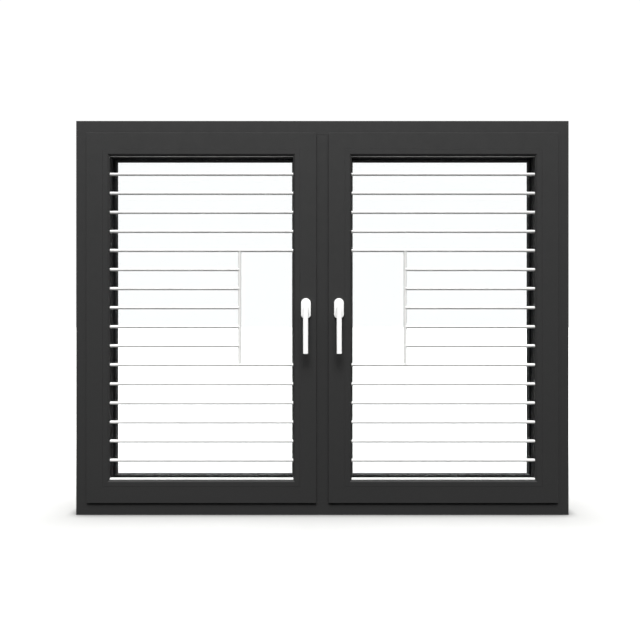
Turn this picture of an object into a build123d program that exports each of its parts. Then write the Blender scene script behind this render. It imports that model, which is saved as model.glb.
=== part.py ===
from build123d import *
import math
import os

# Double casement window with hollow mitred profiles, sealed glass units, a grille of round
# rods in each sash and a lever handle on each meeting stile. Millimetres, +Z up, the room
# side faces -Y. The origin is in the middle of the sill's underside.

# Frame
FRAME_W = 1500.0
FRAME_H = 1200.0
FRAME_D = 70.0
FRAME_FACE = 43.0
FRAME_NECK = 38.0
FRAME_LEG = 60.0
FRAME_FRONT_STEP = 22.0
FRAME_BACK_STEP = 44.0
FRAME_WALL = 2.0
FRAME_FIXING_WALL = 2.6
JOINT_LINE = 0.8

# Mullion, measured from its middle
MULLION_FACE = 29.0
MULLION_NECK = 24.0
MULLION_LEG = 46.0
POST_FROM = 20.0

# Sashes, placed from the frame's middle and its underside
SASH_INNER_X = 18.3
SASH_OUTER_X = 716.5
SASH_BOTTOM = 38.0
SASH_TOP = 1162.0
SASH_PROUD = 8.0
SASH_D = 78.0
SASH_WALL = 2.0
FLANGE_W = 20.0
FLANGE_T = 3.0
BODY_BACK = 50.0
LEG_START = 32.0
GROOVE_FROM = 8.0
GROOVE_TO = 20.0
GROOVE_DEPTH = 4.0
BEAD_SEAT = 50.0
LEG_SIGHT = 74.3
EDGE_R = 1.0

# Glazing bead
BEAD_FIT = 0.2
BEAD_FLAT = 64.5
BEAD_SIGHT = 70.5
BEAD_BEVEL = 4.0
BEAD_D = 26.0
BEAD_CHAMBER_TO = 60.0
BEAD_EDGE_R = 0.4
CLIP_DEPTH = 3.0
CLIP_FROM = 16.0
CLIP_TO = 20.0

# Glass unit
GLASS_EDGE = 58.0
GLASS_FRONT = 30.0
PANE_T = 4.0
GLASS_GAP = 16.0
SPACER_W = 9.0
GASKET_T = 4.0
GASKET_FROM = 64.0
INNER_GASKET_TO = 71.5
OUTER_GASKET_TO = 75.3

# Gasket between sash flange and frame
SEAL_FROM = 1.0
SEAL_TO = 5.0

# Rods
ROD_D = 9.5
ROD_LEVELS = 18
ROD_FIRST_Z = 108.7
ROD_PITCH = 58.03
ROD_DEPTH = 9.0
ROD_CLEAR = 0.1
UPRIGHT_X = 252.0
SHORT_FIRST = 7
SHORT_LAST = 11

# Handle
HANDLE_X = 50.0
HANDLE_Z = 630.0
ROSETTE_W = 29.0
ROSETTE_UP = 29.5
ROSETTE_DOWN = 31.5
ROSETTE_T = 9.0
ROSETTE_FOOT_R = 11.0
ROSETTE_EDGE = 1.2
LEVER_W = 14.5
LEVER_DROP = 136.5
LEVER_REACH = 45.0
LEVER_T = 12.0
LEVER_TIP_T = 9.0
LEVER_RIDGE = 0.9
LEVER_EDGE = 1.4
LEVER_TIP_R = 2.0
NECK_R = 7.0
NECK_CLEAR = 0.5
BEARING_R = 6.6
BEARING_FROM = 1.0
BEARING_CLEAR = 0.05
SPINDLE = 7.0
SPINDLE_IN = 19.0
SPINDLE_HOLE_R = 7.0

# Fixings and drainage
SCREW_R = 4.0
SCREW_Z = (200.0, 1000.0)
SLOT_L = 28.0
SLOT_H = 5.0
SLOT_Z = 12.0
SLOT_X = (-600.0, -200.0, 200.0, 600.0)

FRAME_Y = -FRAME_D / 2
SASH_Y = FRAME_Y - SASH_PROUD
LEG_FRONT = GLASS_FRONT + 2 * PANE_T + GLASS_GAP + GASKET_T
MITRE_REACH = 80.0


def outline(points, rounded=(), radius=EDGE_R):
    """A closed flat face through the points, with the corners in rounded rounded off."""
    face = make_face(Polyline(*points, close=True))
    for x, y in rounded:
        near = [v for v in face.vertices() if math.hypot(v.X - x, v.Y - y) < 0.01]
        face = fillet(near, radius)
    return face


def chamber(x0, y0, x1, y1):
    """A hollow of a profile as a flat rectangle."""
    return Pos((x0 + x1) / 2, (y0 + y1) / 2) * Rectangle(x1 - x0, y1 - y0)


def frame_outline(rounded=True):
    """The frame's section: x inwards from its outer edge, y outwards from the room face."""
    points = [
        (0, 0),
        (FRAME_FACE, 0),
        (FRAME_FACE, FRAME_FRONT_STEP),
        (FRAME_NECK, FRAME_FRONT_STEP),
        (FRAME_NECK, FRAME_BACK_STEP),
        (FRAME_LEG, FRAME_BACK_STEP),
        (FRAME_LEG, FRAME_D),
        (0, FRAME_D),
    ]
    corners = [points[0], points[1], points[6], points[7]] if rounded else []
    return outline(points, corners)


def frame_section():
    """The frame's section with its three chambers and the lines where its shells meet."""
    wall = FRAME_WALL
    section = frame_outline()
    section -= chamber(FRAME_FIXING_WALL, wall, FRAME_FACE - wall, FRAME_FRONT_STEP - wall)
    section -= chamber(FRAME_FIXING_WALL, FRAME_FRONT_STEP, FRAME_NECK - wall, FRAME_BACK_STEP)
    section -= chamber(
        FRAME_FIXING_WALL, FRAME_BACK_STEP + wall, FRAME_LEG - wall, FRAME_D - wall
    )
    for y in (FRAME_FRONT_STEP, FRAME_BACK_STEP):
        section -= chamber(-1, y - JOINT_LINE / 2, JOINT_LINE, y + JOINT_LINE / 2)
    return section


def sash_section():
    """The sash's section: x inwards from its outer edge, y outwards from its room face."""
    wall = SASH_WALL
    points = [
        (0, 0),
        (BEAD_SEAT, 0),
        (BEAD_SEAT, CLIP_FROM),
        (BEAD_SEAT - CLIP_DEPTH, CLIP_FROM),
        (BEAD_SEAT - CLIP_DEPTH, CLIP_TO),
        (BEAD_SEAT, CLIP_TO),
        (BEAD_SEAT, LEG_FRONT),
        (LEG_SIGHT, LEG_FRONT),
        (LEG_SIGHT, SASH_D),
        (LEG_START, SASH_D),
        (LEG_START, BODY_BACK),
        (FLANGE_W, BODY_BACK),
        (FLANGE_W, GROOVE_TO),
        (FLANGE_W + GROOVE_DEPTH, GROOVE_TO),
        (FLANGE_W + GROOVE_DEPTH, GROOVE_FROM),
        (FLANGE_W, GROOVE_FROM),
        (FLANGE_W, FLANGE_T),
        (0, FLANGE_T),
    ]
    section = outline(points, [points[0], points[8], points[9]])
    front = BEAD_SEAT - CLIP_DEPTH - wall
    section -= chamber(FLANGE_W + GROOVE_DEPTH + wall, wall, front, CLIP_TO + wall)
    section -= chamber(FLANGE_W + wall, CLIP_TO + 2 * wall, BEAD_SEAT - wall, BODY_BACK - wall)
    section -= chamber(LEG_START + wall, BODY_BACK + wall, BEAD_SEAT - wall, SASH_D - wall)
    section -= chamber(BEAD_SEAT, LEG_FRONT + wall, LEG_SIGHT - wall, SASH_D - wall)
    return section


def bead_section():
    """The glazing bead: flush with the sash, bevelled at its inner edge, with a clip."""
    seat = BEAD_SEAT + BEAD_FIT
    points = [
        (seat, 0),
        (BEAD_FLAT, 0),
        (BEAD_SIGHT, BEAD_BEVEL),
        (BEAD_SIGHT, BEAD_D),
        (seat, BEAD_D),
        (seat, CLIP_TO - BEAD_FIT),
        (seat - CLIP_DEPTH, CLIP_TO - BEAD_FIT),
        (seat - CLIP_DEPTH, CLIP_FROM + BEAD_FIT),
        (seat, CLIP_FROM + BEAD_FIT),
    ]
    section = outline(points, [points[0]], BEAD_EDGE_R)
    return section - chamber(seat + SASH_WALL, SASH_WALL, BEAD_CHAMBER_TO, BEAD_D - SASH_WALL)


def mullion_section():
    """The mullion's section about its own middle: a T with its wide side outdoors."""
    half = [
        (MULLION_FACE, 0),
        (MULLION_FACE, FRAME_FRONT_STEP),
        (MULLION_NECK, FRAME_FRONT_STEP),
        (MULLION_NECK, FRAME_BACK_STEP),
        (MULLION_LEG, FRAME_BACK_STEP),
        (MULLION_LEG, FRAME_D),
    ]
    points = half + [(-x, y) for x, y in reversed(half)]
    wall = FRAME_WALL
    section = outline(points, [points[0], points[5], points[6], points[11]])
    face = MULLION_FACE - wall
    neck = MULLION_NECK - wall
    leg = MULLION_LEG - wall
    section -= chamber(-face, wall, face, FRAME_FRONT_STEP - wall)
    section -= chamber(-neck, FRAME_FRONT_STEP, neck, FRAME_BACK_STEP)
    section -= chamber(-leg, FRAME_BACK_STEP + wall, leg, FRAME_D - wall)
    return section


def ring_bar(section, side, box, room_y):
    """One mitred bar of a rectangular ring. box is left, right, bottom and top, and the
    section is drawn inwards from the ring's outer edge and outwards from its room face."""
    left, right, bottom, top = box
    places = {
        "left": ((left, room_y, bottom), (1, 0, 0), (0, 0, 1), top - bottom),
        "top": ((left, room_y, top), (0, 0, -1), (1, 0, 0), right - left),
        "right": ((right, room_y, top), (-1, 0, 0), (0, 0, -1), top - bottom),
        "bottom": ((right, room_y, bottom), (0, 0, 1), (-1, 0, 0), right - left),
    }
    origin, inwards, along, length = places[side]
    bar = extrude(section, length)
    reach = MITRE_REACH
    wedge = Polyline((0, 0), (0, length), (reach, length - reach), (reach, reach), close=True)
    cutter = Plane.XZ.offset(-reach - SASH_D) * make_face(wedge)
    bar &= extrude(cutter, 2 * reach + SASH_D)
    return Plane(origin=origin, x_dir=inwards, z_dir=along) * bar


def ring(box, start, end, y0, y1):
    """A flat rectangular ring between two distances in from the box's edges."""
    left, right, bottom, top = box
    middle = Pos((left + right) / 2, (y0 + y1) / 2, (bottom + top) / 2)
    width = right - left
    height = top - bottom
    outer = Box(width - 2 * start, y1 - y0, height - 2 * start)
    inner = Box(width - 2 * end, y1 - y0 + 2, height - 2 * end)
    return middle * (outer - inner)


def pane(box, edge, y0, y1):
    """A plate that fills the box less its edge."""
    left, right, bottom, top = box
    middle = Pos((left + right) / 2, (y0 + y1) / 2, (bottom + top) / 2)
    return middle * Box(right - left - 2 * edge, y1 - y0, top - bottom - 2 * edge)


def rod_along_x(x0, x1, z, radius=ROD_D / 2):
    """A level rod."""
    place = Plane(origin=(x0, SASH_Y + ROD_DEPTH, z), z_dir=(1, 0, 0))
    return place * extrude(Circle(radius), x1 - x0)


def rod_along_z(x, z0, z1, radius=ROD_D / 2):
    """An upright rod."""
    place = Plane(origin=(x, SASH_Y + ROD_DEPTH, z0), z_dir=(0, 0, 1))
    return place * extrude(Circle(radius), z1 - z0)


def rod_z(level):
    """The height of a rod's middle, the lowest being level 0."""
    return ROD_FIRST_Z + level * ROD_PITCH


def sash_box():
    """The left sash's edges: left, right, bottom and top."""
    return (-SASH_OUTER_X, -SASH_INNER_X, SASH_BOTTOM, SASH_TOP)


def rod_ends():
    """Where the left sash's long rods start and end."""
    return -SASH_OUTER_X + BEAD_SIGHT, -SASH_INNER_X - BEAD_SIGHT


def sash_bars():
    """The left sash's four mitred bars, the meeting stile bored for the spindle."""
    section = sash_section()
    box = sash_box()
    bars = {
        "outer_stile": ring_bar(section, "left", box, SASH_Y),
        "meeting_stile": ring_bar(section, "right", box, SASH_Y),
        "top_rail": ring_bar(section, "top", box, SASH_Y),
        "bottom_rail": ring_bar(section, "bottom", box, SASH_Y),
    }
    bore = Plane(origin=(-HANDLE_X, SASH_Y - 1, HANDLE_Z), z_dir=(0, 1, 0))
    bars["meeting_stile"] -= bore * extrude(Circle(SPINDLE_HOLE_R), SASH_WALL + 2)
    return bars


def sash_beads():
    """The left sash's glazing beads, grooved where the lowest and highest rods lie in them."""
    section = bead_section()
    box = sash_box()
    start, end = rod_ends()
    beads = {
        "outer_bead": ring_bar(section, "left", box, SASH_Y),
        "meeting_bead": ring_bar(section, "right", box, SASH_Y),
        "top_bead": ring_bar(section, "top", box, SASH_Y),
        "bottom_bead": ring_bar(section, "bottom", box, SASH_Y),
    }
    for name, level in (("bottom_bead", 0), ("top_bead", ROD_LEVELS - 1)):
        beads[name] -= rod_along_x(start, end, rod_z(level), ROD_D / 2 + ROD_CLEAR)
    return beads


def glazing():
    """The left sash's sealed unit and the gaskets that hold it."""
    box = sash_box()
    front = SASH_Y + GLASS_FRONT
    gap = front + PANE_T
    back = gap + GLASS_GAP
    inner_seal = ring(box, GASKET_FROM, INNER_GASKET_TO, SASH_Y + BEAD_D, front)
    outer_seal = ring(box, GASKET_FROM, OUTER_GASKET_TO, back + PANE_T, SASH_Y + LEG_FRONT)
    return {
        "inner_pane": pane(box, GLASS_EDGE, front, gap),
        "outer_pane": pane(box, GLASS_EDGE, back, back + PANE_T),
        "glass_spacer": ring(box, GLASS_EDGE, GLASS_EDGE + SPACER_W, gap, back),
        "glazing_gaskets": Compound(children=[inner_seal, outer_seal]),
        "sash_gasket": ring(box, SEAL_FROM, SEAL_TO, SASH_Y + FLANGE_T, FRAME_Y),
    }


def rods():
    """The left sash's rods: long ones above and below the gap beside the handle, short ones
    beside it, and the upright that ends them."""
    start, end = rod_ends()
    clear = ROD_D / 2 + ROD_CLEAR
    gap_low = rod_z(SHORT_FIRST - 1)
    gap_high = rod_z(SHORT_LAST + 1)
    upright = rod_along_z(-UPRIGHT_X, gap_low, gap_high)
    upright -= rod_along_x(start, end, gap_low, clear)
    upright -= rod_along_x(start, end, gap_high, clear)
    trim = rod_along_z(-UPRIGHT_X, gap_low, gap_high, clear)
    low = [rod_along_x(start, end, rod_z(n)) for n in range(SHORT_FIRST)]
    high = [rod_along_x(start, end, rod_z(n)) for n in range(SHORT_LAST + 1, ROD_LEVELS)]
    middle = range(SHORT_FIRST, SHORT_LAST + 1)
    short = [rod_along_x(start, -UPRIGHT_X, rod_z(n)) - trim for n in middle]
    return {
        "lower_rods": Compound(children=low),
        "short_rods": Compound(children=short),
        "upper_rods": Compound(children=high),
        "upright_rod": upright,
    }


def rosette():
    """The left handle's rosette: round at the top, softer corners below, with a bearing."""
    half = ROSETTE_W / 2
    plate = Pos(0, (ROSETTE_UP - half - ROSETTE_DOWN) / 2) * Rectangle(
        ROSETTE_W, ROSETTE_UP - half + ROSETTE_DOWN
    )
    foot = [v for v in plate.vertices() if v.Y < 0]
    plate = fillet(foot, ROSETTE_FOOT_R)
    plate += Pos(0, ROSETTE_UP - half) * Circle(half)
    body = extrude(plate, ROSETTE_T)
    body = chamfer(body.faces().sort_by(Axis.Z)[-1].edges(), ROSETTE_EDGE)
    bore = extrude(Circle(BEARING_R + BEARING_CLEAR), ROSETTE_T)
    return handle_place() * (body - bore)


def handle_place():
    """The left spindle's place on the sash face: x to the left, y up, z into the room."""
    return Plane(origin=(-HANDLE_X, SASH_Y, HANDLE_Z), x_dir=(1, 0, 0), z_dir=(0, -1, 0))


def lever_crown():
    """The lever's section across its grip: edges eased, and two faces that meet in a ridge."""
    half = LEVER_W / 2
    shoulder = LEVER_REACH - LEVER_RIDGE
    section = Polyline(
        (-half, 0),
        (-half, shoulder - LEVER_EDGE),
        (-half + LEVER_EDGE, shoulder),
        (0, LEVER_REACH),
        (half - LEVER_EDGE, shoulder),
        (half, shoulder - LEVER_EDGE),
        (half, 0),
        close=True,
    )
    place = Plane(origin=(0, -LEVER_DROP - 1, 0), x_dir=(1, 0, 0), z_dir=(0, -1, 0))
    return extrude(place * make_face(section), -(LEVER_DROP + LEVER_W + 2))


def lever():
    """The left lever with its bearing and square spindle, drawn hanging down."""
    grip = Polyline(
        (LEVER_W / 2, LEVER_REACH - LEVER_T),
        (LEVER_W / 2, LEVER_REACH),
        (-LEVER_DROP, LEVER_REACH),
        (-LEVER_DROP, LEVER_REACH - LEVER_TIP_T),
        close=True,
    )
    side = Plane(origin=(-LEVER_W / 2, 0, 0), x_dir=(0, 1, 0), z_dir=(1, 0, 0)) * make_face(grip)
    bar = extrude(side, LEVER_W)
    front = Pos(0, -LEVER_DROP / 2) * Rectangle(LEVER_W, LEVER_DROP)
    tip = [v for v in front.vertices() if v.Y < -LEVER_DROP / 2]
    front = fillet(tip, LEVER_TIP_R) + Circle(LEVER_W / 2)
    bar &= extrude(front, LEVER_REACH + LEVER_T)
    bar &= lever_crown()
    foot = ROSETTE_T + NECK_CLEAR
    neck = Pos(0, 0, foot) * extrude(Circle(NECK_R), LEVER_REACH - LEVER_T / 2 - foot)
    bearing = Pos(0, 0, BEARING_FROM) * extrude(Circle(BEARING_R), foot)
    spindle = Pos(0, 0, -SPINDLE_IN) * extrude(Rectangle(SPINDLE, SPINDLE), SPINDLE_IN + ROSETTE_T)
    return handle_place() * (bar + neck + bearing + spindle)


def frame_bars():
    """The fixed frame's four mitred bars, bored for the wall screws and slotted to drain."""
    section = frame_section()
    box = (-FRAME_W / 2, FRAME_W / 2, 0, FRAME_H)
    bars = {
        "frame_left_jamb": ring_bar(section, "left", box, FRAME_Y),
        "frame_right_jamb": ring_bar(section, "right", box, FRAME_Y),
        "frame_head": ring_bar(section, "top", box, FRAME_Y),
        "frame_sill": ring_bar(section, "bottom", box, FRAME_Y),
    }
    for name, x in (("frame_left_jamb", -FRAME_W / 2), ("frame_right_jamb", FRAME_W / 2)):
        for z in SCREW_Z:
            place = Plane(origin=(x - FRAME_LEG, 0, z), z_dir=(1, 0, 0))
            bars[name] -= place * extrude(Circle(SCREW_R), 2 * FRAME_LEG)
    for x in SLOT_X:
        back = FRAME_D / 2 - 2 * FRAME_WALL
        place = Plane(origin=(x, back, SLOT_Z), x_dir=(1, 0, 0), z_dir=(0, 1, 0))
        bars["frame_sill"] -= place * extrude(SlotOverall(SLOT_L, SLOT_H), 4 * FRAME_WALL)
    return bars


def mullion():
    """The fixed mullion, its ends cut to the shape of the sill and head they meet."""
    foot = Plane(origin=(0, FRAME_Y, POST_FROM), x_dir=(1, 0, 0), z_dir=(0, 0, 1))
    post = foot * extrude(mullion_section(), FRAME_H - 2 * POST_FROM)
    box = (-FRAME_W / 2, FRAME_W / 2, 0, FRAME_H)
    for side in ("bottom", "top"):
        post -= ring_bar(frame_outline(False), side, box, FRAME_Y)
    return post


def write(name, shape):
    """Writes one piece."""
    shape.label = name
    export_step(shape, f"parts/{name}.step")


def main():
    os.makedirs("parts", exist_ok=True)
    pieces = frame_bars()
    pieces["mullion"] = mullion()
    for name, shape in pieces.items():
        write(name, shape)
    sash = {**sash_bars(), **sash_beads(), **glazing(), **rods()}
    sash["handle_rosette"] = rosette()
    sash["handle_lever"] = lever()
    for name, shape in sash.items():
        write(f"left_{name}", shape)
        write(f"right_{name}", mirror(shape, Plane.YZ))


main()
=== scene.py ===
"""Finishes, rubber seals, weld seams, studio and camera for a double casement window."""
import math

import bpy
from bpy.props import FloatProperty, FloatVectorProperty, PointerProperty
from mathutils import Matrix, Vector


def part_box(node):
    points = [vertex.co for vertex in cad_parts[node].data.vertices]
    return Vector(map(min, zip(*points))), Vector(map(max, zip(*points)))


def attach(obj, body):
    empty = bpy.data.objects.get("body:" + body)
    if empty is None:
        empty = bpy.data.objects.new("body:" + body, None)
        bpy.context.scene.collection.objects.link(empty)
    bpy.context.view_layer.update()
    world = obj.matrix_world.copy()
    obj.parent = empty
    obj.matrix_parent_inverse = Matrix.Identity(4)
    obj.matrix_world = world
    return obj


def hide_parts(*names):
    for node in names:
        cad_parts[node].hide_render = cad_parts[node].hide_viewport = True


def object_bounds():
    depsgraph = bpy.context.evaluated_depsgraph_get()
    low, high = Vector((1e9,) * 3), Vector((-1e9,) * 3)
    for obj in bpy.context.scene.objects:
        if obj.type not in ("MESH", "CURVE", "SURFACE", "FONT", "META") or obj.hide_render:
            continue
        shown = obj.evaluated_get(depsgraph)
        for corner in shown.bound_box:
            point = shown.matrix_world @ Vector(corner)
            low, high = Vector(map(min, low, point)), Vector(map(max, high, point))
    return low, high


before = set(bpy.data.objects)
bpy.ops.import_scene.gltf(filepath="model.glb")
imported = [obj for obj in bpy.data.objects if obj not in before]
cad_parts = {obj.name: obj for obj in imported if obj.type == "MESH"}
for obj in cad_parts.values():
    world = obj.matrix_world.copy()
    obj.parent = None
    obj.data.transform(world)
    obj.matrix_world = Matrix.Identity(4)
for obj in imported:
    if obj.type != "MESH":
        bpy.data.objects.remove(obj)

bl_info = {
    "name": "Double casement window",
    "version": (1, 0, 0),
    "blender": (4, 5, 0),
    "location": "3D View > Sidebar > Casement",
    "description": "Finishes, seals, weld seams and a studio for a double casement window",
    "category": "Object",
}

CAD_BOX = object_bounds()
SIDES = ("left", "right")

FRAME_BARS = ("frame_head", "frame_sill", "frame_left_jamb", "frame_right_jamb", "mullion")
SASH_BARS = ("outer_stile", "meeting_stile", "top_rail", "bottom_rail")
BEADS = ("outer_bead", "meeting_bead", "top_bead", "bottom_bead")
PANES = ("inner_pane", "outer_pane")
ROD_SETS = ("lower_rods", "short_rods", "upper_rods", "upright_rod")

# The plastic strip between the frame's shells, from the frame's front, in metres.
BREAK_START = 0.022
BREAK_END = 0.044
BREAK_ROUGHNESS = 0.72

# Widths of each finish's spots and waves, and the pitch of the spacer's holes, in metres.
COAT_CLOUDS = 0.22
COAT_SHEEN_PATCHES = 0.03
WHITE_CLOUDS = 0.06
WHITE_SHEEN_PATCHES = 0.012
ROD_GRAIN = 0.002
HANDLE_GRAIN = 0.0015
GLASS_WAVES = 0.3
RUBBER_BLOOM = 0.02
RUBBER_DRAG_MARKS = 0.008
RUBBER_GRAIN = 0.002
SPACER_HOLE_PITCH = 0.006
PAPER_MOTTLE = 0.9

# Depths of the dimples, waves and holes, in metres.
COAT_DIMPLES = 0.00006
WHITE_DIMPLES = 0.00003
GLASS_RIPPLE = 0.00002
RUBBER_DIMPLES = 0.00008
SPACER_HOLE_DEPTH = 0.0004

ROD_ROUGHNESS = 0.38
HANDLE_ROUGHNESS = 0.3
SHEEN_CHANGE = 0.03

# From the sash seal's back to the tip of its lip, in metres.
SASH_SEAL_WIDTH = 0.004

# A Mix node's sockets share their names, so they are found by number.
MIX_FACTOR = 0
NUMBER_A, NUMBER_B = 2, 3
COLOUR_A, COLOUR_B = 6, 7
COLOUR_RESULT = 2


def linear(code):
    """An sRGB hex colour as linear red, green and blue."""
    parts = [int(code[i:i + 2], 16) / 255 for i in (1, 3, 5)]
    return tuple(p / 12.92 if p <= 0.04045 else ((p + 0.055) / 1.055) ** 2.4 for p in parts)


def shade(colour, factor=1.0):
    """A colour made lighter or darker, with alpha for a node's socket."""
    return (*(min(1.0, part * factor) for part in colour[:3]), 1.0)


def colour_property(name, description, code):
    """A colour that the sidebar shows."""
    return FloatVectorProperty(
        name=name, description=description, subtype="COLOR", size=3, min=0, max=1, default=linear(code)
    )


def length_property(name, description, metres):
    """A length that the sidebar shows."""
    return FloatProperty(
        name=name, description=description, default=metres, min=0, unit="LENGTH", precision=4
    )


def angle_property(name, description, degrees):
    """An angle that the sidebar shows."""
    return FloatProperty(
        name=name, description=description, default=math.radians(degrees), subtype="ANGLE"
    )


class CasementFinish(bpy.types.PropertyGroup):
    """Colours and small sizes of the window's finishes."""

    coat_colour: colour_property("Profile coat", "Anthracite of the frame and sashes", "#242424")
    coat_roughness: FloatProperty(
        name="Profile roughness", description="Sheen of the profile coat", default=0.7, min=0, max=1
    )
    coat_gloss: FloatProperty(
        name="Profile gloss", description="Strength of the coat's reflections", default=0.35, min=0
    )
    coat_grain: length_property("Coat grain", "Width of one dimple of the coat", 0.0045)
    break_colour: colour_property("Thermal break", "Glass-filled plastic between shells", "#131314")
    rod_colour: colour_property("Rod coat", "White of the rods", "#E2E2E0")
    handle_colour: colour_property("Handle coat", "White of the handles", "#FAFAF9")
    glass_tint: colour_property("Glass tint", "What clear float glass lets through", "#FDFEFE")
    rubber_colour: colour_property("Seal rubber", "Black of the seals", "#0E0E0F")
    spacer_colour: colour_property("Spacer bar", "Grey of the bar between the panes", "#2C2D2F")
    lip_reach: length_property("Seal lip", "How far a glazing seal shows past its bead", 0.0018)
    weld_size: length_property("Weld seam", "Radius of the seams between the rods", 0.0009)


class CasementStudio(bpy.types.PropertyGroup):
    """The floor, the lamps and the camera."""

    floor_colour: colour_property("Floor", "Pale matt floor", "#B4B4B3")
    # Painted shade: the floor's colour for the light it throws back on the window, darker than it is
    # seen.
    floor_bounce: FloatProperty(
        name="Floor bounce",
        description="Share of the floor's brightness that it throws back on the window",
        default=0.02,
        min=0,
        max=1,
    )
    # Painted light: the far floor's own glow, with no lamp behind the window.
    painted_floor_glow: FloatProperty(
        name="Floor glow", description="Light of the lamps that whiten the far floor", default=1.0, min=0
    )
    painted_glow_reach: length_property("Glow reach", "How far out the far lamps' light is full", 1.2)
    # Painted shade: how far from the window the floor's colour is darkened as a contact shadow.
    painted_contact_shade_reach: length_property("Contact shade", "How far the window dims the floor", 0.035)
    floor_size: length_property("Floor size", "Length of the floor's sides", 80.0)
    eye_height: length_property("Eye height", "Height of the camera above the floor", 0.6)
    eye_distance: length_property("Eye distance", "From the camera to the sashes' face", 2.010)
    lens: FloatProperty(
        name="Lens", description="Focal length on a 36 mm sensor, in mm", default=37.28, min=1
    )
    shift_x: FloatProperty(name="Shift across", description="Share of the width", default=-0.00375)
    shift_y: FloatProperty(name="Shift up", description="Share of the width", default=-0.0033)
    sky: FloatProperty(
        name="Sky light", description="Strength of the even light, high in front", default=2.8, min=0
    )
    sky_behind: FloatProperty(
        name="Sky light behind",
        description="Share of the even light that comes from the sides and from behind",
        default=0.45,
        min=0,
        max=1,
    )
    sky_horizon: FloatProperty(
        name="Sky light at the horizon",
        description="Share of the even light that comes level, where dark screens hold it off",
        default=0.02,
        min=0,
        max=1,
    )
    sky_low: FloatProperty(
        name="Screens' height",
        description="Upward part of the direction up to which the screens reach",
        default=0.3,
        min=0,
        max=1,
    )
    sky_high: FloatProperty(
        name="Full sky height",
        description="Upward part of the direction from which the even light is full",
        default=0.8,
        min=0,
        max=1,
    )
    backdrop: FloatProperty(
        name="Backdrop", description="Brightness of the background", default=1.04, min=0
    )
    glass_lift: FloatProperty(
        name="Background behind glass",
        description="How much brighter the background is there, for what the panes hold back",
        default=1.16,
        min=1,
    )
    top: FloatProperty(
        name="Top light", description="Strength of the soft lamp overhead", default=0.8, min=0
    )
    top_height: angle_property("Top light height", "Angle of the overhead lamp above the floor", 88)
    top_spread: angle_property("Top light spread", "Angle that it fills, which softens shadows", 14)
    front: FloatProperty(
        name="Front light", description="Strength of the soft lamp in front", default=3.3, min=0
    )
    front_height: angle_property("Front light height", "Angle of the front lamp above the floor", 52)
    front_spread: angle_property("Front light spread", "Angle that it fills", 28)


def add_node(tree, kind, sockets=None, links=None, **attributes):
    """Adds one node with its attributes, socket values and incoming links."""
    made = tree.nodes.new(kind)
    for key, value in attributes.items():
        setattr(made, key, value)
    for key, value in (sockets or {}).items():
        made.inputs[key].default_value = value
    for key, source in (links or {}).items():
        tree.links.new(source, made.inputs[key])
    return made


def bare_material(name):
    """A material with an empty node tree, and its object coordinates."""
    material = bpy.data.materials.new(name)
    material.use_nodes = True
    tree = material.node_tree
    tree.nodes.clear()
    place = add_node(tree, "ShaderNodeTexCoord").outputs["Object"]
    return material, tree, place


def finish_surface(tree, shader):
    """Links a shader to the material's output."""
    add_node(tree, "ShaderNodeOutputMaterial", None, {"Surface": shader})


def noise(tree, place, width, detail=2.0):
    """Noise whose spots are about width metres across, as a socket from 0 to 1."""
    sockets = {"Scale": 1 / width, "Detail": detail, "Roughness": 0.55}
    return add_node(tree, "ShaderNodeTexNoise", sockets, {"Vector": place}).outputs["Fac"]


def spread(tree, value, low, high):
    """Noise stretched from its usual middle band to low and high."""
    sockets = {"From Min": 0.3, "From Max": 0.7, "To Min": low, "To Max": high}
    return add_node(tree, "ShaderNodeMapRange", sockets, {"Value": value}).outputs["Result"]


def two_tones(tree, factor, dark, light):
    """A colour between dark and light."""
    sockets = {COLOUR_A: dark, COLOUR_B: light}
    made = add_node(tree, "ShaderNodeMix", sockets, {MIX_FACTOR: factor}, data_type="RGBA")
    return made.outputs[COLOUR_RESULT]


def dimples(tree, place, width, depth, strength):
    """The normal of a surface with dimples of that width and depth, in metres."""
    sockets = {"Strength": strength, "Distance": depth}
    links = {"Height": noise(tree, place, width)}
    return add_node(tree, "ShaderNodeBump", sockets, links).outputs["Normal"]


def profile_coat(finish, name, break_from=None, break_to=None):
    """Polyester powder coat, sprayed and baked on extruded aluminium: a dark even colour with a
    fine orange peel that breaks up reflections. The real dimples are about 1.5 mm wide and are
    drawn three times as wide, so that they show. Where the Y coordinate is between break_from
    and break_to, the surface is the thermal break: dull dark plastic, filled with glass."""
    material, tree, place = bare_material(name)
    cloud = noise(tree, place, COAT_CLOUDS)
    colour = finish.coat_colour
    tone = two_tones(tree, cloud, shade(colour, 0.94), shade(colour, 1.06))
    least = finish.coat_roughness - SHEEN_CHANGE
    most = finish.coat_roughness + SHEEN_CHANGE
    rough = spread(tree, noise(tree, place, COAT_SHEEN_PATCHES, 4), least, most)
    if break_from is not None:
        depth = add_node(tree, "ShaderNodeSeparateXYZ", None, {0: place}).outputs["Y"]
        middle = (break_from + break_to) / 2
        half_width = (break_to - break_from) / 2
        sockets = {1: middle, 2: half_width}
        inside = add_node(tree, "ShaderNodeMath", sockets, {0: depth}, operation="COMPARE").outputs[0]
        sockets = {COLOUR_B: shade(finish.break_colour)}
        links = {MIX_FACTOR: inside, COLOUR_A: tone}
        made = add_node(tree, "ShaderNodeMix", sockets, links, data_type="RGBA")
        tone = made.outputs[COLOUR_RESULT]
        sockets = {NUMBER_B: BREAK_ROUGHNESS}
        links = {MIX_FACTOR: inside, NUMBER_A: rough}
        rough = add_node(tree, "ShaderNodeMix", sockets, links, data_type="FLOAT").outputs[0]
    links = {
        "Base Color": tone,
        "Roughness": rough,
        "Normal": dimples(tree, place, finish.coat_grain, COAT_DIMPLES, 0.35),
    }
    sockets = {"IOR": 1.5, "Specular IOR Level": finish.coat_gloss}
    shader = add_node(tree, "ShaderNodeBsdfPrincipled", sockets, links)
    finish_surface(tree, shader.outputs[0])
    return material


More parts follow.
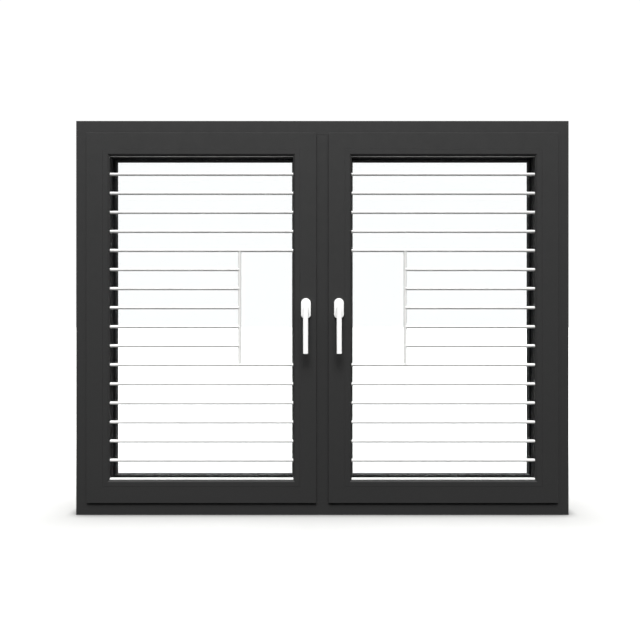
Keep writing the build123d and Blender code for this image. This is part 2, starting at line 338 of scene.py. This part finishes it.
def white_coat(name, colour, roughness, grain):
    """White powder coat on drawn bar or on a die cast handle: bright, with a satin sheen and
    dimples finer than the profiles', drawn about twice their real width."""
    material, tree, place = bare_material(name)
    cloud = noise(tree, place, WHITE_CLOUDS)
    patches = noise(tree, place, WHITE_SHEEN_PATCHES, 3)
    links = {
        "Base Color": two_tones(tree, cloud, shade(colour, 0.97), shade(colour)),
        "Roughness": spread(tree, patches, roughness - SHEEN_CHANGE, roughness + SHEEN_CHANGE),
        "Normal": dimples(tree, place, grain, WHITE_DIMPLES, 0.25),
    }
    shader = add_node(tree, "ShaderNodeBsdfPrincipled", {"IOR": 1.5}, links)
    finish_surface(tree, shader.outputs[0])
    return material


def float_glass(finish):
    """Clear float glass, drawn flat on molten tin: it lets lamps through, mirrors a little of
    what stands in front of it and has the faint long waves of the rollers."""
    material, tree, place = bare_material("clear_float_glass")
    sockets = {
        "Base Color": shade(finish.glass_tint),
        "Roughness": 0.0,
        "IOR": 1.52,
        "Transmission Weight": 1.0,
        "Specular IOR Level": 0.25,
    }
    waves = dimples(tree, place, GLASS_WAVES, GLASS_RIPPLE, 0.08)
    pane = add_node(tree, "ShaderNodeBsdfPrincipled", sockets, {"Normal": waves}).outputs[0]
    clear = add_node(
        tree, "ShaderNodeBsdfTransparent", {"Color": shade(finish.glass_tint)}
    ).outputs[0]
    lamp = add_node(tree, "ShaderNodeLightPath").outputs["Is Shadow Ray"]
    both = add_node(tree, "ShaderNodeMixShader", None, {0: lamp, 1: pane, 2: clear})
    finish_surface(tree, both.outputs[0])
    return material


def seal_rubber(finish):
    """Extruded rubber: near black, matt, with faint drag marks and a chalky bloom."""
    material, tree, place = bare_material("extruded_seal_rubber")
    colour = finish.rubber_colour
    bloom = noise(tree, place, RUBBER_BLOOM, 4)
    links = {
        "Base Color": two_tones(tree, bloom, shade(colour, 0.8), shade(colour, 1.7)),
        "Roughness": spread(tree, noise(tree, place, RUBBER_DRAG_MARKS, 3), 0.58, 0.72),
        "Normal": dimples(tree, place, RUBBER_GRAIN, RUBBER_DIMPLES, 0.4),
    }
    shader = add_node(tree, "ShaderNodeBsdfPrincipled", {"IOR": 1.52}, links)
    finish_surface(tree, shader.outputs[0])
    return material


def spacer_plastic(finish):
    """Warm edge bar, extruded in glass-filled plastic: grey, satin, pricked with the fine holes
    that let its drying agent breathe."""
    material, tree, place = bare_material("warm_edge_spacer")
    holes = add_node(
        tree,
        "ShaderNodeTexVoronoi",
        {"Scale": 1 / SPACER_HOLE_PITCH, "Randomness": 0.1},
        {"Vector": place},
    ).outputs["Distance"]
    ring = add_node(
        tree, "ShaderNodeMapRange", {"From Min": 0.1, "From Max": 0.2}, {"Value": holes}
    ).outputs["Result"]
    # Painted shade: the colour is darkened in each hole, for the shade inside it; the bump dents the
    # holes.
    colour = finish.spacer_colour
    links = {
        "Base Color": two_tones(tree, ring, shade(colour, 0.3), shade(colour)),
        "Normal": add_node(
            tree, "ShaderNodeBump", {"Strength": 0.6, "Distance": SPACER_HOLE_DEPTH}, {"Height": ring}
        ).outputs["Normal"],
    }
    shader = add_node(tree, "ShaderNodeBsdfPrincipled", {"Roughness": 0.42, "IOR": 1.5}, links)
    finish_surface(tree, shader.outputs[0])
    return material


def seen_directly(tree):
    """1 where the eye sees a surface itself or through glass, 0 where it only lights others."""
    path = add_node(tree, "ShaderNodeLightPath").outputs
    links = {0: path["Diffuse Depth"], 1: path["Glossy Depth"]}
    bounces = add_node(tree, "ShaderNodeMath", None, links).outputs[0]
    return add_node(
        tree, "ShaderNodeMath", {1: 0.5}, {0: bounces}, operation="LESS_THAN"
    ).outputs[0]


def sky_strength(tree, studio):
    """Strength of the even light by the way it comes: full from high in front, less from the
    sides and from behind, and almost none level, so that the panes mirror nothing pale."""
    way = add_node(tree, "ShaderNodeTexCoord").outputs["Generated"]
    axes = add_node(tree, "ShaderNodeSeparateXYZ", None, {0: way}).outputs
    sockets = {"From Min": 0.0, "From Max": -1.0, "To Min": studio.sky_behind}
    facing = add_node(tree, "ShaderNodeMapRange", sockets, {"Value": axes["Y"]}).outputs["Result"]
    sockets = {
        "From Min": studio.sky_low,
        "From Max": studio.sky_high,
        "To Min": studio.sky * studio.sky_horizon,
        "To Max": studio.sky,
    }
    height = add_node(tree, "ShaderNodeMapRange", sockets, {"Value": axes["Z"]}).outputs["Result"]
    links = {0: facing, 1: height}
    return add_node(tree, "ShaderNodeMath", None, links, operation="MULTIPLY").outputs[0]


def backdrop_strength(tree, studio):
    """Strength of the white background, raised behind the panes by what they hold back."""
    behind_glass = add_node(tree, "ShaderNodeLightPath").outputs["Is Transmission Ray"]
    sockets = {"To Min": studio.backdrop, "To Max": studio.backdrop * studio.glass_lift}
    return add_node(
        tree, "ShaderNodeMapRange", sockets, {"Value": behind_glass}
    ).outputs["Result"]


def studio_paper(studio):
    """Pale matt paper of a studio floor, with the faintest mottling. Further out it glows with
    painted light of its own, and its colour is darkened with painted shade where the window
    stands on it. Behind the panes the painted glow is raised by what they hold back, as the
    background is. Its colour for the light it throws back on the window is darkened: painted shade."""
    material, tree, place = bare_material("studio_floor")
    colour = studio.floor_colour
    seen = seen_directly(tree)
    mottle = noise(tree, place, PAPER_MOTTLE, 3)
    paper = two_tones(tree, mottle, shade(colour, 0.985), shade(colour))
    # Painted shade: the floor's colour darkened by ambient occlusion near the window, a painted contact
    # shadow.
    near = add_node(
        tree, "ShaderNodeAmbientOcclusion", {"Distance": studio.painted_contact_shade_reach}, {"Color": paper}
    ).outputs["Color"]
    # Painted shade: for light thrown back on the window the floor's colour is darkened, which shades the
    # window's undersides.
    sockets = {COLOUR_A: shade(colour, studio.floor_bounce)}
    links = {MIX_FACTOR: seen, COLOUR_B: near}
    made = add_node(tree, "ShaderNodeMix", sockets, links, data_type="RGBA")
    tone = made.outputs[COLOUR_RESULT]
    # The distance from the window's foot, which is 0 below it.
    offset = place
    foot = (CAD_BOX[1].x, CAD_BOX[1].y, 0)
    for operation, value in (("ABSOLUTE", None), ("SUBTRACT", foot), ("MAXIMUM", (0, 0, 0))):
        sockets = {1: value} if value else None
        offset = add_node(
            tree, "ShaderNodeVectorMath", sockets, {0: offset}, operation=operation
        ).outputs[0]
    away = add_node(
        tree, "ShaderNodeVectorMath", None, {0: offset}, operation="LENGTH"
    ).outputs["Value"]
    # Painted light: the floor glows by itself, more the further it lies from the window's foot.
    reach = {"From Max": studio.painted_glow_reach, "To Max": studio.painted_floor_glow}
    glow = add_node(tree, "ShaderNodeMapRange", reach, {"Value": away}).outputs["Result"]
    behind_glass = add_node(tree, "ShaderNodeLightPath").outputs["Is Transmission Ray"]
    more = {1: studio.glass_lift - 1}
    glow = add_node(
        tree, "ShaderNodeMath", more, {0: behind_glass, 2: glow}, operation="MULTIPLY_ADD"
    ).outputs[0]
    lift = add_node(
        tree, "ShaderNodeMath", None, {0: glow, 1: seen}, operation="MULTIPLY"
    ).outputs[0]
    sockets = {"Roughness": 0.85, "IOR": 1.3, "Emission Color": (1, 1, 1, 1)}
    links = {"Base Color": tone, "Emission Strength": lift}
    shader = add_node(tree, "ShaderNodeBsdfPrincipled", sockets, links)
    finish_surface(tree, shader.outputs[0])
    return material


def dress(name, material):
    """Gives a node of the frame its finish."""
    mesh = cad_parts[name].data
    mesh.materials.clear()
    mesh.materials.append(material)


def finished_mesh(name, mesh, material, smooth=True):
    """An object for a mesh, with its finish."""
    mesh.materials.append(material)
    for face in mesh.polygons:
        face.use_smooth = smooth
    piece = bpy.data.objects.new(name, mesh)
    bpy.context.scene.collection.objects.link(piece)
    return piece


def sash_edges(side):
    """The outer edges of a sash: left, right, bottom and top."""
    boxes = [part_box(f"{side}_{bar}") for bar in SASH_BARS]
    low = [min(box[0][axis] for box in boxes) for axis in range(3)]
    high = [max(box[1][axis] for box in boxes) for axis in range(3)]
    return low[0], high[0], low[2], high[2]


def mitred_ring(edges, sections):
    """Vertices and faces of closed rings round an opening. Each section is a loop of points,
    given as the distance in from the edges and the depth outdoors."""
    left, right, bottom, top = edges
    corners = ((left, bottom, 1, 1), (right, bottom, -1, 1), (right, top, -1, -1), (left, top, 1, -1))
    points = []
    faces = []
    for section in sections:
        first = len(points)
        count = len(section)
        for x, z, across, up in corners:
            points += [(x + across * inset, depth, z + up * inset) for inset, depth in section]
        for corner in range(4):
            here = first + corner * count
            there = first + (corner + 1) % 4 * count
            for i in range(count):
                j = (i + 1) % count
                faces.append((here + i, here + j, there + j, there + i))
    return points, faces


def lipped_section(back, tip, near, far, segments=10):
    """A strip's section from back to tip, between the depths near and far, its tip round."""
    radius = (far - near) / 2
    middle = (far + near) / 2
    section = [(back, far), (back, near)]
    for step in range(segments + 1):
        angle = -math.pi / 2 + math.pi * step / segments
        section.append((tip - radius + radius * math.cos(angle), middle + radius * math.sin(angle)))
    return section


def ring_object(name, edges, sections, material):
    """A ring of one or more sections as a piece."""
    points, faces = mitred_ring(edges, sections)
    mesh = bpy.data.meshes.new(name)
    mesh.from_pydata(points, [], faces)
    mesh.validate()
    mesh.update()
    return finished_mesh(name, mesh, material)


def saddle(centre, radius, along, segments=28):
    """Points of the seam where a rod meets another of its size at right angles. along is the
    way the rod leads off, as +1 or -1 times the X or the Z axis."""
    points = []
    for step in range(segments):
        angle = 2 * math.pi * step / segments
        out = radius * abs(math.sin(angle))
        side = radius * math.sin(angle)
        depth = -radius * math.cos(angle)
        if along.x:
            points.append(centre + Vector((along.x * out, depth, side)))
        else:
            points.append(centre + Vector((side, depth, along.z * out)))
    return points


def seam_object(name, loops, radius, material):
    """Closed seams as one round-backed piece."""
    curve = bpy.data.curves.new(name, "CURVE")
    curve.dimensions = "3D"
    curve.bevel_depth = radius
    curve.bevel_resolution = 2
    for loop in loops:
        spline = curve.splines.new("POLY")
        spline.points.add(len(loop) - 1)
        for point, place in zip(spline.points, loop):
            point.co = (*place, 1)
        spline.use_cyclic_u = True
    curve.materials.append(material)
    piece = bpy.data.objects.new(name, curve)
    bpy.context.scene.collection.objects.link(piece)
    return piece


def rod_heights(side):
    """The heights of the short rods, those of the two long rods that the upright runs between,
    and the rods' radius."""
    low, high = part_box(f"{side}_upright_rod")
    radius = (high.x - low.x) / 2
    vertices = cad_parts[f"{side}_short_rods"].data.vertices
    rods = []
    for height in sorted({round(vertex.co.z, 4) for vertex in vertices}):
        if rods and height - rods[-1][0] < 3 * radius:
            rods[-1].append(height)
        else:
            rods.append([height])
    short = [(rod[0] + rod[-1]) / 2 for rod in rods]
    pitch = (short[-1] - short[0]) / (len(short) - 1)
    return short, short[0] - pitch, short[-1] + pitch, radius


class CASEMENT_OT_coat_profiles(bpy.types.Operator):
    """Powder coat the fixed frame, the mullion, the sash bars and the glazing beads"""

    bl_idname = "casement.coat_profiles"
    bl_label = "Coat profiles"

    def execute(self, context):
        finish = context.scene.casement_finish
        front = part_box("frame_left_jamb")[0].y
        strip = (front + BREAK_START, front + BREAK_END)
        frame_coat = profile_coat(finish, "anthracite_coat_frame", *strip)
        sash_coat = profile_coat(finish, "anthracite_coat_sash")
        for name in FRAME_BARS:
            dress(name, frame_coat)
        for side in SIDES:
            for name in SASH_BARS + BEADS:
                dress(f"{side}_{name}", sash_coat)
        return {"FINISHED"}


class CASEMENT_OT_coat_rods(bpy.types.Operator):
    """Coat the rods white and add the seams that join the upright to them"""

    bl_idname = "casement.coat_rods"
    bl_label = "Coat and weld rods"

    def execute(self, context):
        finish = context.scene.casement_finish
        coat = white_coat("white_coat_rods", finish.rod_colour, ROD_ROUGHNESS, ROD_GRAIN)
        for side in SIDES:
            for name in ROD_SETS:
                dress(f"{side}_{name}", coat)
            short, under, over, radius = rod_heights(side)
            low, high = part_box(f"{side}_upright_rod")
            middle = (low + high) / 2
            outwards = Vector((-1, 0, 0)) if side == "left" else Vector((1, 0, 0))
            loops = [saddle(Vector((middle.x, middle.y, z)), radius, outwards) for z in short]
            loops.append(saddle(Vector((middle.x, middle.y, under)), radius, Vector((0, 0, 1))))
            loops.append(saddle(Vector((middle.x, middle.y, over)), radius, Vector((0, 0, -1))))
            seams = seam_object(f"{side}_rod_weld_seams", loops, finish.weld_size, coat)
            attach(seams, "window")
        return {"FINISHED"}


class CASEMENT_OT_coat_handles(bpy.types.Operator):
    """Coat the rosettes and levers white"""

    bl_idname = "casement.coat_handles"
    bl_label = "Coat handles"

    def execute(self, context):
        finish = context.scene.casement_finish
        coat = white_coat(
            "white_coat_handles", finish.handle_colour, HANDLE_ROUGHNESS, HANDLE_GRAIN
        )
        for side in SIDES:
            for name in ("handle_rosette", "handle_lever"):
                dress(f"{side}_{name}", coat)
        return {"FINISHED"}


class CASEMENT_OT_glaze_sashes(bpy.types.Operator):
    """Finish the panes and the bars between them"""

    bl_idname = "casement.glaze_sashes"
    bl_label = "Glaze sashes"

    def execute(self, context):
        finish = context.scene.casement_finish
        glass = float_glass(finish)
        bar = spacer_plastic(finish)
        for side in SIDES:
            for name in PANES:
                dress(f"{side}_{name}", glass)
            dress(f"{side}_glass_spacer", bar)
        return {"FINISHED"}


class CASEMENT_OT_fit_seals(bpy.types.Operator):
    """Fit round-lipped rubber seals at the glass and between each sash and the frame"""

    bl_idname = "casement.fit_seals"
    bl_label = "Fit seals"

    def execute(self, context):
        finish = context.scene.casement_finish
        rubber = seal_rubber(finish)
        for side in SIDES:
            edges = sash_edges(side)
            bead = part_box(f"{side}_bottom_bead")
            sight = bead[1].z - edges[2]
            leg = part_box(f"{side}_bottom_rail")[1].z - edges[2]
            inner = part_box(f"{side}_inner_pane")
            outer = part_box(f"{side}_outer_pane")
            low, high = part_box(f"{side}_glazing_gaskets")
            back = low.z - edges[2]
            sections = [
                lipped_section(back, sight + finish.lip_reach, low.y, inner[0].y),
                lipped_section(back, leg + finish.lip_reach, outer[1].y, high.y),
            ]
            glazing = ring_object(f"{side}_glazing_seals", edges, sections, rubber)
            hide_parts(f"{side}_glazing_gaskets")
            low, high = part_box(f"{side}_sash_gasket")
            start = low.z - edges[2]
            section = lipped_section(-start - SASH_SEAL_WIDTH, -start, low.y, high.y)
            mirrored = [(-inset, depth) for inset, depth in reversed(section)]
            seal = ring_object(f"{side}_sash_seal", edges, [mirrored], rubber)
            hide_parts(f"{side}_sash_gasket")
            for piece in (glazing, seal):
                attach(piece, "window")
        return {"FINISHED"}


class CASEMENT_OT_set_studio(bpy.types.Operator):
    """Lay the floor, light the window and set the camera in front of it"""

    bl_idname = "casement.set_studio"
    bl_label = "Set studio"

    def execute(self, context):
        studio = context.scene.casement_studio
        self.lay_floor(studio)
        self.light(context, studio)
        self.set_camera(context, studio)
        return {"FINISHED"}

    def lay_floor(self, studio):
        """A square of paper that the window stands on."""
        half = studio.floor_size / 2
        level = CAD_BOX[0].z
        around = ((-half, -half), (half, -half), (half, half), (-half, half))
        corners = [(x, y, level) for x, y in around]
        mesh = bpy.data.meshes.new("studio_floor")
        mesh.from_pydata(corners, [], [(0, 1, 2, 3)])
        finished_mesh("studio_floor", mesh, studio_paper(studio), False)

    def light(self, context, studio):
        """A white background where the eye sees it, the even light elsewhere, and two lamps."""
        scene = context.scene
        scene.view_settings.view_transform = "Standard"
        world = bpy.data.worlds.new("studio_sky")
        world.use_nodes = True
        tree = world.node_tree
        tree.nodes.clear()
        links = {
            "Value": seen_directly(tree),
            "To Min": sky_strength(tree, studio),
            "To Max": backdrop_strength(tree, studio),
        }
        strength = add_node(tree, "ShaderNodeMapRange", None, links).outputs["Result"]
        glow = add_node(
            tree, "ShaderNodeBackground", {"Color": (1, 1, 1, 1)}, {"Strength": strength}
        )
        add_node(tree, "ShaderNodeOutputWorld", None, {"Surface": glow.outputs[0]})
        scene.world = world
        self.lamp("top_light", studio.top, studio.top_height, studio.top_spread)
        self.lamp("front_light", studio.front, studio.front_height, studio.front_spread)

    def lamp(self, name, strength, height, width):
        """A far lamp in front of the window. Its height above the floor and its width, which
        softens its shadows, are angles."""
        data = bpy.data.lights.new(name, "SUN")
        data.energy = strength
        data.angle = width
        light = bpy.data.objects.new(name, data)
        light.rotation_euler = (math.radians(90) - height, 0, 0)
        bpy.context.scene.collection.objects.link(light)

    def set_camera(self, context, studio):
        """A level camera, straight in front of the window."""
        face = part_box("left_outer_stile")[0].y
        data = bpy.data.cameras.new("front_camera")
        data.sensor_width = 36
        data.lens = studio.lens
        data.shift_x = studio.shift_x
        data.shift_y = studio.shift_y
        camera = bpy.data.objects.new("front_camera", data)
        camera.location = (0, face - studio.eye_distance, studio.eye_height)
        camera.rotation_euler = (math.radians(90), 0, 0)
        context.scene.collection.objects.link(camera)
        bpy.context.scene.camera = camera


STEPS = (
    CASEMENT_OT_coat_profiles,
    CASEMENT_OT_coat_rods,
    CASEMENT_OT_coat_handles,
    CASEMENT_OT_glaze_sashes,
    CASEMENT_OT_fit_seals,
    CASEMENT_OT_set_studio,
)


class CASEMENT_PT_panel(bpy.types.Panel):
    """The window's finishes, studio and steps"""

    bl_idname = "CASEMENT_PT_panel"
    bl_label = "Double casement window"
    bl_space_type = "VIEW_3D"
    bl_region_type = "UI"
    bl_category = "Casement"

    def draw(self, context):
        for group in (context.scene.casement_finish, context.scene.casement_studio):
            column = self.layout.column(align=True)
            for name in group.__annotations__:
                column.prop(group, name)
        for step in STEPS:
            self.layout.operator(step.bl_idname)


GROUPS = {"casement_finish": CasementFinish, "casement_studio": CasementStudio}


def register():
    for name, group in GROUPS.items():
        bpy.utils.register_class(group)
        setattr(bpy.types.Scene, name, PointerProperty(type=group))
    for part in (*STEPS, CASEMENT_PT_panel):
        bpy.utils.register_class(part)


def unregister():
    for part in (CASEMENT_PT_panel, *reversed(STEPS)):
        bpy.utils.unregister_class(part)
    for name, group in GROUPS.items():
        delattr(bpy.types.Scene, name)
        bpy.utils.unregister_class(group)


def main():
    register()
    bpy.ops.casement.coat_profiles()
    bpy.ops.casement.coat_rods()
    bpy.ops.casement.coat_handles()
    bpy.ops.casement.glaze_sashes()
    bpy.ops.casement.fit_seals()
    bpy.ops.casement.set_studio()


if __name__ == "__main__":
    main()
